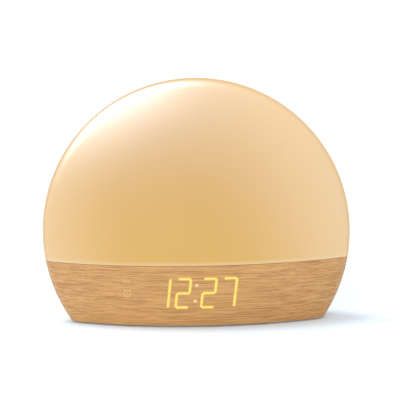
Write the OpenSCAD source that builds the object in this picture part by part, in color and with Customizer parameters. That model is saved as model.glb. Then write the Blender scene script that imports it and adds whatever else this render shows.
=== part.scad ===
// Sunrise alarm clock: a pebble-shaped light dome on an oval wooden base.
// Frame: Z up, the table at z = 0, the front faces -Y and the centre line is x = 0, y = 0.
// The outside is one body of revolution about a front-to-back axis, cut flat at the bottom.

/* [Body] */
// Radius of the round outline seen from the front
body_r = 100; // [97:1:108]
// Half of the greatest front-to-back depth
half_depth = 44; // [42:1:47]
// Radius of the rounded rim between the front and rear faces
rim_r = 16; // [13:1:19]
// Height of the outline's centre above the base's lower edge
centre_h = 56; // [54:1:58]
// Height of the wooden base
base_h = 39; // [38:0.5:42]
// Gap between the table and the base's lower edge
foot_gap = 1.2; // [0.8:0.1:2]

/* [Shells] */
// Wall of the wooden base
base_wall = 2.6; // [2.2:0.1:3]
// Wall of the light dome
dome_wall = 2.2; // [1.8:0.1:2.6]
// Open line between the dome and the base
seam_gap = 0.3; // [0.2:0.1:0.5]
// Depth of the dome's skirt below the seam
skirt_h = 3; // [2.5:0.1:3.5]
// Thickness of the dome's skirt
skirt_t = 1.8; // [1.4:0.1:2]
// Width of the two ledges inside the base
ledge_w = 3.2; // [2.8:0.1:3.6]
// Thickness of those ledges
ledge_t = 1.8; // [1.5:0.1:2]
// Thickness of the light tray
tray_t = 1.8; // [1.5:0.1:2.2]
// Thickness of the bottom cover
cover_t = 2.2; // [2:0.1:2.4]
// How far the bottom cover sits above the base's lower edge
cover_recess = 0.6; // [0.4:0.1:0.8]

/* [Display] */
// Height of the digits
digit_h = 20.3; // [18:0.1:20.6]
// Width of a digit
digit_w = 9.1; // [8:0.1:9.6]
// Width of a segment
segment_w = 1.9; // [1.5:0.1:2.2]
// Gap between neighbouring segments
segment_gap = 0.4; // [0.3:0.1:0.6]
// Lean of the digits in degrees
digit_slant = 5; // [0:1:8]
// Distance between the digits of a pair
digit_pitch = 12.7; // [12:0.1:13]
// Distance between the two digits beside the colon
colon_pitch = 15.7; // [15:0.1:16.5]
// Air between the display's light box and the light tray above it
display_gap = 0.95; // [0.75:0.05:1.95]
// Distance of the indicator lights to the left of the centre line
icon_x = 42; // [40:0.5:44]
// Wood left in front of the display
skin_t = 1; // [0.8:0.1:1.2]

/* [Rear panel] */
// Wood left beside each end of the rear panel
panel_side = 28.9; // [27.9:0.1:29.9]
// Air between the rear panel's lip and the ledge above it
panel_top_gap = 0.2; // [0.1:0.1:0.6]
// Air between the rear panel's lip and the ledge below it
panel_low_gap = 1.2; // [0.9:0.1:1.6]
// Wall of the rear panel
panel_wall = 2.2; // [2:0.1:2.4]
// How far the panel lies below the wood
panel_recess = 0.6; // [0.4:0.1:0.8]
// Width of the panel's lip behind the wood
lip_w = 2.2; // [1.6:0.1:2.2]
// Diameter of the grille's holes
grille_hole_d = 1.6; // [1.2:0.1:1.8]
// Distance between the grille's holes
grille_pitch = 2.8; // [2.6:0.1:3.4]

/* [Buttons] */
// Diameter of a button
button_d = 7.2; // [6.6:0.1:7.6]
// How far a button stands out of the panel
button_proud = 0.9; // [0.7:0.1:1.2]
// Travel of a button
button_travel = 0.8; // [0.5:0.1:0.9]
// Distance between the two rows of buttons
row_pitch = 10.6; // [10.2:0.1:11]
// Distance between button columns
column_pitch = 13; // [12.6:0.1:13.4]
// Distance from the panel's end to the outer button column
button_setback = 15; // [14.5:0.1:15.5]

/* [Power inlet] */
// Diameter of the inlet's contact pin
jack_pin_d = 2.1; // [1.9:0.1:2.5]
// Diameter of the inlet's bore, for a plug of 5.5 mm
jack_bore_d = 6.2; // [6:0.1:6.6]
// Diameter of the recess around the inlet
jack_recess_d = 11; // [10.6:0.1:11.4]
// Distance from the panel's end to the inlet's middle
jack_setback = 10; // [9.6:0.1:10.6]

/* [Hidden] */
$fn = 64;

fit = 0.3; // air between moulded pieces that drop into each other
slip = 0.1; // air between pieces that slide or bear on each other
over = 1; // how far a cutting shape runs past what it cuts
board_t = 1.6; // every circuit board
reach = 3 * body_r; // larger than the whole object

// The outline's half profile has a face arc on the axis and a rim arc that meets it smoothly.
rim_c = body_r - rim_r;
face_r = (rim_c * rim_c + half_depth * half_depth - rim_r * rim_r) / (2 * (half_depth - rim_r));
face_c = face_r - half_depth;
blend_dir = [rim_c, face_c] / norm([rim_c, face_c]);

// Levels, from the table up
base_z = foot_gap;
seam_z = base_z + base_h;
centre_z = base_z + centre_h;
cover_z = base_z + cover_recess;
cover_top = cover_z + cover_t;
tray_top = seam_z - skirt_h;
tray_z = tray_top - tray_t;
main_board_z = cover_top + 5;
main_board_top = main_board_z + board_t;

// Distance from the middle plane to the face that lies inset below the outside, at a point of the front view
function face_y(x, z, inset = 0) = sqrt(pow(face_r - inset, 2) - x * x - pow(z - centre_z, 2)) - face_c;
// The same at the far side of a round spot of the given radius, where the face is lowest
function spot_y(x, z, spot_r, inset) = face_y(norm([x, z - centre_z]) + spot_r, centre_z, inset);
// Distance from the middle plane at which an upright post of radius r at x touches the inset face at height z
function post_y(x, z, r, inset) = sqrt(pow(slice_r(z, inset) - r, 2) - x * x) - face_c;
function slice_r(z, inset) = sqrt(pow(face_r - inset, 2) - pow(z - centre_z, 2));
// Half length of the body at a height
function end_x(z, inset = 0) = sqrt(pow(body_r - inset, 2) - pow(z - centre_z, 2));

// ---------- The outside and slices of it ----------

module face_disc(side, inset) {
    translate([0, -side * face_c]) circle(r = face_r - inset, $fn = 240);
}

// Half profile: the lens between the two faces up to where the rim begins, and the rim's whole circle over it
module profile(inset) {
    rim_start = rim_c + (rim_r - inset) * blend_dir.x;
    intersection() {
        face_disc(1, inset);
        face_disc(-1, inset);
        translate([0, -reach]) square([rim_start, 2 * reach]);
    }
    translate([rim_c, 0]) circle(r = rim_r - inset);
}

module pebble(inset = 0) {
    translate([0, 0, centre_z]) rotate([90, 0, 0]) rotate_extrude($fn = 180) profile(inset);
}

module slab(z0, z1) {
    translate([-reach, -reach, z0]) cube([2 * reach, 2 * reach, z1 - z0]);
}

// The body between two heights and two insets
module band(z0, z1, outer, inner) {
    difference() {
        intersection() {
            pebble(outer);
            slab(z0, z1);
        }
        pebble(inner);
    }
}

module plate(z0, z1, inset) {
    intersection() {
        pebble(inset);
        slab(z0, z1);
    }
}

// ---------- Shared small shapes ----------

// A cylinder along +Y from y0 to y1
module rod_y(x, z, r, y0, y1) {
    translate([x, y0, z]) rotate([-90, 0, 0]) cylinder(r = r, h = y1 - y0);
}

// A box by its corners
module block(lo, hi) {
    translate(lo) cube(hi - lo);
}

// A rounded slot along X, seen from the front, between y0 and y1
module slot_y(w, h, x, z, y0, y1) {
    for (side = [-1, 1]) rod_y(x + side * (w - h) / 2, z, h / 2, y0, y1);
    block([x - (w - h) / 2, y0, z - h / 2], [x + (w - h) / 2, y1, z + h / 2]);
}

// A pan-head screw: its head stands below z = 0 and its shank above
module screw(head_r, head_h, shank_r, shank_h) {
    drive_w = head_r * 0.3;
    difference() {
        translate([0, 0, -head_h]) cylinder(r = head_r, h = head_h);
        for (turn = [0, 90]) {
            rotate([0, 0, turn]) translate([0, 0, -head_h])
                cube([head_r * 1.2, drive_w, head_h], center = true);
        }
    }
    cylinder(r = shank_r, h = shank_h);
}

// ---------- Screws: sizes and places ----------

pilot_r = 1.25;
shank_r = 1.15;
head_r = 2.4;
head_h = 1.4;
small_pilot_r = 0.85;
small_shank_r = 0.75;
small_head_r = 1.6;
small_head_h = 1;

// Legs of the light tray that the bottom cover is screwed to
leg_r = 3.2;
leg_setback = 12; // from the inside of the base's end
leg_pilot = 11; // depth of the screw hole in a leg
leg_x = end_x(cover_top, base_wall) - leg_setback;
leg_y = post_y(leg_x, cover_top, leg_r + fit, base_wall + ledge_w);
leg_spots = [for (sx = [-1, 1], sy = [-1, 1]) [sx * leg_x, sy * leg_y]];

// Bosses of the dome that the light tray is screwed to
dome_boss_r = 3.4;
dome_boss_setback = 33.3; // from the inside of the base's end
dome_boss_x = end_x(tray_top, base_wall) - dome_boss_setback;
dome_boss_pilot = 7;
dome_boss_y = post_y(dome_boss_x, tray_top, dome_boss_r, base_wall + fit + skirt_t) + 0.8;
dome_boss_top = seam_z + 6;
dome_boss_spots = [for (sx = [-1, 1], sy = [-1, 1]) [sx * dome_boss_x, sy * dome_boss_y]];

// ---------- Wooden base ----------

display_margin = 1.6;
icon_margin = 6;
film_t = 0.3;
display_box_d = 3; // depth of the light box at its shallowest corner
digit_mid_z = tray_z - display_gap - display_margin - digit_h / 2;
display_x0 = -icon_x - icon_margin;
display_x1 = (digit_pitch + colon_pitch / 2) + digit_w / 2 + 5;
display_z0 = digit_mid_z - digit_h / 2 - display_margin;
display_z1 = digit_mid_z + digit_h / 2 + display_margin;
display_inset = skin_t + film_t + 2 * slip;
display_back = -(face_y(display_x0, display_z0, display_inset) - display_box_d);
display_boss_r = 2.6;
display_boss_x = [display_x0 - 6, display_x1 + 7];

panel_top = tray_z - ledge_t - panel_top_gap - lip_w;
panel_bottom = cover_top + ledge_t + panel_low_gap + lip_w;
panel_h = panel_top - panel_bottom;
panel_mid_z = (panel_top + panel_bottom) / 2;
panel_w = 2 * (end_x(panel_mid_z) - panel_side);

// Across the panel, from the buttons inwards
post_gap = 7; // inner button column to the board post beside it
speaker_gap = 3; // that post to the speaker's frame
jack_x = panel_w / 2 - jack_setback;
column_x = panel_w / 2 - button_setback - column_pitch;
post_x = column_x - post_gap;
speaker_w = 2 * (post_x - speaker_gap);
lip_t = 1.6;
lip_inset = base_wall + slip;
panel_inset = panel_recess + panel_wall;
panel_boss_r = 2.6;
panel_boss_x = panel_w / 2 + 7;
panel_boss_y = face_y(panel_boss_x, panel_mid_z, base_wall) - 4;

module display_pocket(air) {
    block([display_x0 - air, -reach, display_z0 - air], [display_x1 + air, 0, display_z1 + air]);
}

module wooden_base() {
    color("peru") difference() {
        union() {
            band(base_z, seam_z, 0, base_wall);
            band(tray_z - ledge_t, tray_z, base_wall / 2, base_wall + ledge_w);
            band(cover_top, cover_top + ledge_t, base_wall / 2, base_wall + ledge_w);
            intersection() {
                pebble(base_wall / 2);
                for (x = display_boss_x) rod_y(x, digit_mid_z, display_boss_r, -reach, display_back);
            }
            intersection() {
                pebble(base_wall / 2);
                for (side = [-1, 1]) rod_y(side * panel_boss_x, panel_mid_z, panel_boss_r, panel_boss_y, reach);
            }
        }
        // Thin skin in front of the light box
        intersection() {
            pebble(skin_t);
            display_pocket(fit);
        }
        for (x = display_boss_x) rod_y(x, digit_mid_z, small_pilot_r, display_back - 2.4, 0);
        // Rear window and the screw holes beside it
        slot_y(panel_w, panel_h, 0, panel_mid_z, 0, reach);
        for (side = [-1, 1]) {
            rod_y(side * panel_boss_x, panel_mid_z, small_pilot_r, 0, panel_boss_y + 3.6);
        }
        // Room in the upper ledge for the heads of the dome's screws
        for (p = dome_boss_spots) {
            translate([p.x, p.y, tray_z - ledge_t - over]) cylinder(r = head_r + 0.4, h = ledge_t + over);
        }
    }
}

// ---------- Light dome ----------

module dome_diffuser() {
    skirt_inset = base_wall + fit;
    color("moccasin") difference() {
        union() {
            band(seam_z + seam_gap, centre_z + body_r + over, 0, dome_wall);
            band(tray_top, seam_z + seam_gap + 2, skirt_inset, skirt_inset + skirt_t);
            band(seam_z + seam_gap, seam_z + seam_gap + 2, dome_wall / 2, skirt_inset + skirt_t);
            intersection() {
                pebble(dome_wall / 2);
                for (p = dome_boss_spots) {
                    translate([p.x, p.y, tray_top]) cylinder(r = dome_boss_r, h = dome_boss_top - tray_top);
                }
            }
        }
        // Room for the tray's screws, and for the bosses beside the wood below the seam
        for (p = dome_boss_spots) {
            translate([p.x, p.y, tray_top - over]) cylinder(r = pilot_r, h = dome_boss_pilot + over);
        }
    }
}

module dome_screws() {
    color("silver") for (p = dome_boss_spots) {
        translate([p.x, p.y, tray_z]) screw(head_r, head_h, shank_r, tray_t + dome_boss_pilot - 1);
    }
}

// ---------- Light tray and its lamps ----------

led_board_w = 132;
led_board_d = 26;
led_rows = [-6.5, 6.5];
led_columns = 9;
led_pitch = 12.5;
led_size = 5;
led_h = 1.6;
led_screw_x = led_board_w / 2 - led_board_d / 2 + 6;
lead_hole_r = 3.6;
fence_inset = base_wall + fit + skirt_t + fit;
fence_t = 1.2;
fence_h = 2.6;

module light_tray() {
    color("white") difference() {
        union() {
            plate(tray_z, tray_top, base_wall + fit);
            difference() {
                band(tray_z, tray_top + fence_h, fence_inset, fence_inset + fence_t);
                for (p = dome_boss_spots) {
                    translate([p.x, p.y, tray_top])
                        cylinder(r = dome_boss_r + fit, h = fence_h + over);
                }
            }
            for (p = leg_spots) {
                translate([p.x, p.y, cover_top]) cylinder(r = leg_r, h = tray_z - cover_top + tray_t / 2);
            }
        }
        for (p = leg_spots) {
            translate([p.x, p.y, cover_top - over]) cylinder(r = pilot_r, h = leg_pilot + over);
        }
        for (p = dome_boss_spots) {
            translate([p.x, p.y, tray_z - over]) cylinder(r = shank_r + 0.2, h = tray_t + 2 * over);
        }
        for (side = [-1, 1]) {
            translate([side * led_screw_x, 0, tray_z - over])
                cylinder(r = small_pilot_r, h = tray_t + 2 * over);
        }
        translate([lead_hole_x, 0, tray_z - over]) cylinder(r = lead_hole_r, h = tray_t + 2 * over);
    }
}

module led_board() {
    half_run = (led_board_w - led_board_d) / 2;
    color("whitesmoke") translate([0, 0, tray_top]) difference() {
        union() {
            for (side = [-1, 1]) translate([side * half_run, 0, 0]) cylinder(d = led_board_d, h = board_t);
            block([-half_run, -led_board_d / 2, 0], [half_run, led_board_d / 2, board_t]);
        }
        for (side = [-1, 1]) {
            translate([side * led_screw_x, 0, -over])
                cylinder(r = small_shank_r + 0.2, h = board_t + 2 * over);
        }
    }
}

module led_chips() {
    lens_r = led_size * 0.36;
    color("lightyellow") for (column = [0 : led_columns - 1], y = led_rows) {
        x = (column - (led_columns - 1) / 2) * led_pitch;
        translate([x, y, tray_top + board_t]) difference() {
            translate([-led_size / 2, -led_size / 2, 0]) cube([led_size, led_size, led_h]);
            translate([0, 0, led_h - 0.3]) cylinder(r1 = lens_r * 0.8, r2 = lens_r, h = 0.3);
        }
    }
}

module led_screws() {
    color("silver") for (side = [-1, 1]) {
        translate([side * led_screw_x, 0, tray_top + board_t]) mirror([0, 0, 1])
            screw(small_head_r, small_head_h, small_shank_r, board_t + tray_t);
    }
}

// ---------- Display behind the wood ----------

digit_xs = [for (side = [-1, 1], n = [0, 1]) side * (colon_pitch / 2 + n * digit_pitch)];
colon_dz = digit_h / 4;
colon_r = 1;
alarm_light_z = digit_mid_z - 1.2;
alarm_light_r = 2.6;
bar_light_z = digit_mid_z + 6.6;
bar_light_w = 5.2;
bar_light_h = 2.2;
smd = [1.6, 0.7, 0.8];

function lean(p) = [p.x + p.y * tan(digit_slant), p.y];

// A segment as a pointed bar between two points, in the digit's own upright frame
function segment(a, b) =
    let (
        dir = (b - a) / norm(b - a),
        side = [-dir.y, dir.x] * segment_w / 2,
        tip = dir * segment_w / 2,
        p = a + dir * segment_gap / 2,
        q = b - dir * segment_gap / 2
    )
    [for (v = [p, p + tip + side, q - tip + side, q, q - tip - side, p + tip - side]) lean(v)];

seg_w = (digit_w - segment_w) / 2;
seg_h = (digit_h - segment_w) / 2;
segments = [
    segment([-seg_w, seg_h], [seg_w, seg_h]),
    segment([-seg_w, 0], [seg_w, 0]),
    segment([-seg_w, -seg_h], [seg_w, -seg_h]),
    segment([-seg_w, 0], [-seg_w, seg_h]),
    segment([seg_w, 0], [seg_w, seg_h]),
    segment([-seg_w, -seg_h], [-seg_w, 0]),
    segment([seg_w, -seg_h], [seg_w, 0]),
];
segment_mids = [
    for (ends = [[0, seg_h], [0, 0], [0, -seg_h]]) lean(ends),
    for (sz = [1, -1], sx = [-1, 1]) lean([sx * seg_w, sz * seg_h / 2]),
];
colon_mids = [for (dz = [-colon_dz, colon_dz]) lean([0, dz])];

// A flat outline of the front view, pushed through the light box
module front_cut(y0, y1) {
    translate([0, y1, 0]) rotate([90, 0, 0]) linear_extrude(y1 - y0) children();
}

module display_box() {
    color("ghostwhite") difference() {
        intersection() {
            pebble(display_inset);
            block([display_x0, -reach, display_z0], [display_x1, display_back, display_z1]);
        }
        front_cut(-half_depth, display_back + over) {
            for (x = digit_xs, s = segments) translate([x, digit_mid_z]) polygon(s);
            for (p = colon_mids) translate([p.x, digit_mid_z + p.y]) circle(r = colon_r, $fn = 32);
            translate([-icon_x, alarm_light_z]) circle(r = alarm_light_r);
            translate([-icon_x - bar_light_w / 2, bar_light_z]) square([bar_light_w, bar_light_h]);
        }
    }
}

module display_film() {
    color("linen") intersection() {
        difference() {
            pebble(skin_t + slip);
            pebble(skin_t + slip + film_t);
        }
        block([display_x0, -reach, display_z0], [display_x1, 0, display_z1]);
    }
}

module display_board() {
    color("seagreen") difference() {
        intersection() {
            pebble(base_wall + 2 * fit);
            block([display_boss_x[0] - 4, display_back, display_z0 - 1],
                  [display_boss_x[1] + 4, display_back + board_t, tray_z - head_h - fit]);
        }
        for (x = display_boss_x) rod_y(x, digit_mid_z, small_shank_r + 0.2, -half_depth, 0);
    }
}

// One small lamp at the foot of every light channel
module display_leds() {
    color("gold") {
        for (x = digit_xs, m = segment_mids) lamp(x + m.x, digit_mid_z + m.y);
        for (m = colon_mids) lamp(m.x, digit_mid_z + m.y);
        lamp(-icon_x, alarm_light_z);
        lamp(-icon_x, bar_light_z + bar_light_h / 2);
    }
}

module lamp(x, z) {
    translate([x, display_back - smd.y / 2, z]) cube([smd.z, smd.y, smd.z], center = true);
}

module display_screws() {
    color("silver") for (x = display_boss_x) {
        translate([x, display_back + board_t, digit_mid_z]) rotate([90, 0, 0])
            screw(small_head_r, small_head_h, small_shank_r, board_t + 2);
    }
}

// ---------- Buttons and their switches ----------

button_r = button_d / 2;
collar_r = button_r + 1.4;
flange_r = button_r + 1;
flange_t = 1;
stem_r = 1.5;
plunger_r = 1.75;
plunger_proud = 1;
plunger_depth = 1.4;
switch_w = 6;
switch_h = 3.5;

// Button places in the front view: name, x, z
button_z = [panel_mid_z - row_pitch / 2, panel_mid_z + row_pitch / 2];
light_at = [column_x, button_z[1]];
sound_at = [column_x + column_pitch, button_z[1]];
minus_at = [column_x, button_z[0]];
plus_at = [column_x + column_pitch, button_z[0]];
alarm_at = [-column_x, button_z[1]];
set_at = [-column_x, button_z[0]];
button_spots = [light_at, sound_at, plus_at, minus_at, alarm_at, set_at];

// The flat end of the collar behind the panel that the button's flange rests against
function collar_end(p) = spot_y(p.x, p.y, collar_r, lip_inset + lip_t);
switch_top = min([for (p = button_spots) collar_end(p)]) - slip - flange_t - 0.5 - plunger_proud;
button_board_y = switch_top - switch_h;

module button(p) {
    color("floralwhite") intersection() {
        pebble(panel_recess - button_proud);
        union() {
            rod_y(p.x, p.y, button_r, collar_end(p) - slip - flange_t, reach);
            rod_y(p.x, p.y, flange_r, collar_end(p) - slip - flange_t, collar_end(p) - slip);
            rod_y(p.x, p.y, stem_r, switch_top + plunger_proud, collar_end(p) - slip);
        }
    }
}

module plunger(p) {
    color("dimgray") rod_y(p.x, p.y, plunger_r, switch_top - plunger_depth, switch_top + plunger_proud);
}

module light_button() { button(light_at); }
module sound_button() { button(sound_at); }
module plus_button() { button(plus_at); }
module minus_button() { button(minus_at); }
module alarm_button() { button(alarm_at); }
module set_button() { button(set_at); }
module light_plunger() { plunger(light_at); }
module sound_plunger() { plunger(sound_at); }
module plus_plunger() { plunger(plus_at); }
module minus_plunger() { plunger(minus_at); }
module alarm_plunger() { plunger(alarm_at); }
module set_plunger() { plunger(set_at); }

module switch_housings() {
    bore_depth = plunger_depth + button_travel + 0.3;
    color("black") for (p = button_spots) difference() {
        block([p.x - switch_w / 2, button_board_y, p.y - switch_w / 2],
              [p.x + switch_w / 2, switch_top, p.y + switch_w / 2]);
        rod_y(p.x, p.y, plunger_r + slip, switch_top - bore_depth, switch_top + over);
    }
}

// ---------- Speaker ----------

board_post_r = 2.4; // the panel's posts for screws
speaker_h = panel_h + 4;
speaker_straight = speaker_w - speaker_h - 2;
surround_r = (speaker_h - 3.2) / 2;
cone_r = surround_r - 2.2;
roll_out = surround_r - 0.9; // outer edge of the rubber roll
roll_foot = 0.4; // thickness of the roll where it stands on the cone and the frame
roll_z = -0.9;
coil_r = 3;
throat_z = -5.6;
basket_depth = 7.4;
magnet_r = cone_r + 0.3;
magnet_t = 7;
gasket_t = 1;
frame_t = 1.2;
grille_w = speaker_w - 5;
grille_h = speaker_h - 6;
grille_t = 1;
grille_rim = 1.2; // width of the step that the grille rests on
grille_inset = panel_recess + 0.4;
speaker_screw_dx = speaker_w / 2 - 2.9;
speaker_screw_dz = speaker_h / 2 - 2.6;
gasket_gap = 0.4; // between the gasket and the panel's posts for the speaker's screws
gasket_r = norm([speaker_screw_dx - speaker_straight / 2, speaker_screw_dz]) - board_post_r - gasket_gap;
speaker_spots = [
    for (sx = [-1, 1], sz = [-1, 1]) [sx * speaker_screw_dx, panel_mid_z + sz * speaker_screw_dz],
];
speaker_y = face_y(speaker_w / 2, panel_mid_z - speaker_h / 2, lip_inset + lip_t) - fit;
basket_y = speaker_y - frame_t - basket_depth;
magnet_y = basket_y - magnet_t;
terminal_w = 4; // strip behind the frame's left end that the two leads are soldered to
terminal_t = 2;
terminal_y = speaker_y - frame_t - terminal_t;
speaker_lead_x = -(speaker_w - terminal_w) / 2 + 0.5;

// Sweeps a half profile (radius, height) round a slot-shaped track in the speaker's frame, +Z out of the cone
module track(straight) {
    for (turn = [0, 180]) {
        rotate([0, 0, turn]) translate([straight / 2, 0, 0]) rotate([0, 0, -90])
            rotate_extrude(angle = 180) children();
    }
    translate([-straight / 2, 0, 0]) rotate([90, 0, 90]) linear_extrude(straight) {
        children();
        mirror([1, 0]) children();
    }
}

// Puts the speaker's own frame at its seat, facing the rear
module at_speaker() {
    translate([0, speaker_y, panel_mid_z]) rotate([-90, 0, 0]) children();
}

module speaker_frame() {
    wall = 0.9;
    corner_r = 3;
    floor_z = -frame_t - basket_depth + wall;
    color("dimgray") at_speaker() difference() {
        union() {
            translate([0, 0, -frame_t]) linear_extrude(frame_t) {
                square([speaker_w, speaker_h - 2 * corner_r], center = true);
                square([speaker_w - 2 * corner_r, speaker_h], center = true);
                for (sx = [-1, 1], sz = [-1, 1]) {
                    translate([sx * (speaker_w / 2 - corner_r), sz * (speaker_h / 2 - corner_r)])
                        circle(r = corner_r);
                }
            }
            track(speaker_straight) {
                polygon([[0, -frame_t - basket_depth], [cone_r * 0.7, -frame_t - basket_depth],
                         [surround_r, -frame_t / 2], [0, -frame_t / 2]]);
            }
            translate([speaker_lead_x - terminal_w / 2, -3, -frame_t - terminal_t])
                cube([terminal_w, 6, terminal_t + frame_t / 2]);
        }
        track(speaker_straight) {
            polygon([[0, floor_z], [cone_r * 0.7 - wall, floor_z], [roll_out - roll_foot, roll_z],
                     [roll_out, roll_z], [roll_out, over], [0, over]]);
        }
        // Air windows in the basket's two long sides
        for (x = [-9, 0, 9]) {
            translate([x - 3, -speaker_h / 2, -frame_t - basket_depth + 1.6])
                cube([6, speaker_h, basket_depth - 3]);
        }
        for (p = speaker_spots) {
            translate([p.x, p.y - panel_mid_z, -frame_t - over])
                cylinder(r = small_shank_r + 0.2, h = frame_t + 2 * over);
        }
    }
}

// A half-roll of rubber that stands on the cone's rim and on the step inside the frame
module speaker_surround() {
    roll_r = (roll_out - cone_r) / 2;
    color("black") at_speaker() track(speaker_straight) intersection() {
        translate([cone_r + roll_r, roll_z]) difference() {
            circle(r = roll_r, $fn = 32);
            circle(r = roll_r - roll_foot, $fn = 32);
        }
        translate([cone_r, roll_z]) square([2 * roll_r, roll_r]);
    }
}

module speaker_cone() {
    paper_t = 0.4;
    color("black") at_speaker() track(speaker_straight) {
        polygon([[cone_r + roll_foot, roll_z], [cone_r + roll_foot, roll_z - paper_t],
                 [coil_r + 0.4, throat_z - paper_t],
                 [coil_r, throat_z - paper_t], [coil_r, throat_z], [cone_r, roll_z]]);
    }
}

module speaker_dust_cap() {
    cap_r = 4.4;
    cone_slope = (roll_z - throat_z) / (cone_r - coil_r);
    foot_z = throat_z + (cap_r - coil_r) * cone_slope + slip;
    color("dimgray") at_speaker() track(speaker_straight) intersection() {
        translate([0, foot_z]) difference() {
            circle(r = cap_r);
            circle(r = cap_r - 0.4);
        }
        translate([0, foot_z]) square([cap_r + over, cap_r + over]);
    }
}

module speaker_magnet() {
    color("silver") at_speaker() translate([0, 0, -frame_t - basket_depth - magnet_t]) {
        cylinder(r = magnet_r, h = magnet_t - 1.5);
        cylinder(r = magnet_r - 1.2, h = magnet_t);
    }
}

module speaker_gasket() {
    inner_r = surround_r - 1;
    color("black") difference() {
        slot_y(speaker_straight + 2 * gasket_r, 2 * gasket_r, 0, panel_mid_z, speaker_y, speaker_y + gasket_t);
        slot_y(speaker_straight + 2 * inner_r, 2 * inner_r, 0, panel_mid_z, speaker_y - over,
               speaker_y + gasket_t + over);
    }
}

module speaker_grille() {
    columns = floor((grille_w - grille_h) / 2 / grille_pitch) + floor(grille_h / 2 / grille_pitch);
    row_h = grille_pitch * sin(60);
    rows = floor((grille_h / 2 - grille_hole_d) / row_h);
    color("darkgray") intersection() {
        difference() {
            pebble(grille_inset);
            pebble(grille_inset + grille_t);
            for (row = [-rows : rows], column = [-columns : columns]) {
                x = (column + (row % 2 == 0 ? 0 : 0.5)) * grille_pitch;
                z = row * row_h;
                beyond = max(abs(x) - (grille_w - grille_h) / 2, 0);
                if (norm([beyond, z]) < grille_h / 2 - grille_hole_d) {
                    rod_y(x, panel_mid_z + z, grille_hole_d / 2, 0, half_depth, $fn = 24);
                }
            }
        }
        slot_y(grille_w, grille_h, 0, panel_mid_z, 0, reach);
    }
}

module speaker_screws() {
    color("silver") for (p = speaker_spots) {
        translate([p.x, speaker_y - frame_t, p.y]) rotate([-90, 0, 0])
            screw(small_head_r, small_head_h, small_shank_r, frame_t + 3);
    }
}

// ---------- Power inlet ----------

jack_w = 9;
jack_d = 14.4;
jack_h = 11;
jack_axis_h = 6.5;
jack_cup_wall = 1.5;
jack_cup_r = jack_recess_d / 2 + jack_cup_wall;
jack_floor_t = 1.6;
jack_hole_r = jack_bore_d / 2 + 0.4;
jack_at = [-jack_x, main_board_top + jack_axis_h];
jack_mouth = face_y(jack_x + jack_w / 2, main_board_top, lip_inset + lip_t) - fit;
jack_bore_depth = 10.5;
jack_pin_setback = 1;

module jack_housing() {
    color("black") difference() {
        block([jack_at.x - jack_w / 2, jack_mouth - jack_d, main_board_top],
              [jack_at.x + jack_w / 2, jack_mouth, main_board_top + jack_h]);
        rod_y(jack_at.x, jack_at.y, jack_bore_d / 2, jack_mouth - jack_bore_depth, jack_mouth + over);
        // The step down to the contacts at the back
        block([jack_at.x - jack_w / 2 - over, jack_mouth - jack_d - over, main_board_top + jack_h - 3],
              [jack_at.x + jack_w / 2 + over, jack_mouth - jack_d + 3.2, main_board_top + jack_h + over]);
    }
}

module jack_pin() {
    pin_r = jack_pin_d / 2;
    tip = jack_mouth - jack_pin_setback - pin_r;
    color("silver") {
        rod_y(jack_at.x, jack_at.y, pin_r, jack_mouth - jack_bore_depth, tip);
        translate([jack_at.x, tip, jack_at.y]) sphere(r = pin_r);
    }
}

// ---------- Rear panel ----------

right_posts = [post_x, column_x + column_pitch / 2];
left_posts = [-post_x, -column_x - 7.8];
post_xs = concat(right_posts, left_posts);

// What the panel may fill: the window in the wood, and the room behind the wood round it
module panel_room() {
    intersection() {
        pebble(panel_recess);
        slot_y(panel_w - 2 * fit, panel_h - 2 * fit, 0, panel_mid_z, 0, reach);
    }
    intersection() {
        pebble(lip_inset);
        slot_y(panel_w + 2 * lip_w, panel_h + 2 * lip_w, 0, panel_mid_z, 0, reach);
    }
}

module rear_panel() {
    rim_w = 1.5;
    color("oldlace") difference() {
        union() {
            // The curved wall in the window
            intersection() {
                difference() {
                    pebble(panel_recess);
                    pebble(panel_inset);
                }
                slot_y(panel_w - 2 * fit, panel_h - 2 * fit, 0, panel_mid_z, 0, reach);
            }
            // The lip behind the wood, and the rim that joins it to the wall
            difference() {
                panel_room();
                pebble(lip_inset + lip_t);
                slot_y(panel_w - 2 * (fit + rim_w), panel_h - 2 * (fit + rim_w), 0, panel_mid_z, 0, reach);
            }
            // Everything that stands on the inner face
            intersection() {
                panel_room();
                union() {
                    for (p = button_spots) rod_y(p.x, p.y, collar_r, collar_end(p), reach);
                    for (x = post_xs) rod_y(x, panel_mid_z, board_post_r, button_board_y, reach);
                    for (p = speaker_spots) rod_y(p.x, p.y, board_post_r, speaker_y, reach);
                    slot_y(speaker_straight + 2 * gasket_r, 2 * gasket_r, 0, panel_mid_z,
                           speaker_y + gasket_t, reach);
                }
            }
            // The cup round the power inlet
            intersection() {
                pebble(panel_recess);
                rod_y(jack_at.x, jack_at.y, jack_cup_r, jack_mouth, reach);
            }
            // The ears that are screwed to the wood
            for (side = [-1, 1]) panel_ear(side);
        }
        for (p = button_spots) rod_y(p.x, p.y, button_r + 0.25, 0, reach);
        for (x = post_xs) rod_y(x, panel_mid_z, small_pilot_r, button_board_y - over, button_board_y + 5);
        for (p = speaker_spots) rod_y(p.x, p.y, small_pilot_r, speaker_y - over, speaker_y + 3.2);
        rod_y(jack_at.x, jack_at.y, jack_hole_r, 0, reach);
        rod_y(jack_at.x, jack_at.y, jack_recess_d / 2, jack_mouth + jack_floor_t, reach);
        // The seat of the grille, and the sound path behind it
        slot_y(grille_w - 2 * grille_rim, grille_h - 2 * grille_rim, 0, panel_mid_z, 0, reach);
        difference() {
            slot_y(grille_w + 2 * slip, grille_h + 2 * slip, 0, panel_mid_z, 0, reach);
            pebble(grille_inset + grille_t + slip);
        }
        for (side = [-1, 1]) {
            rod_y(side * panel_boss_x, panel_mid_z, small_shank_r + 0.2, 0, reach);
        }
    }
}

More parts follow.
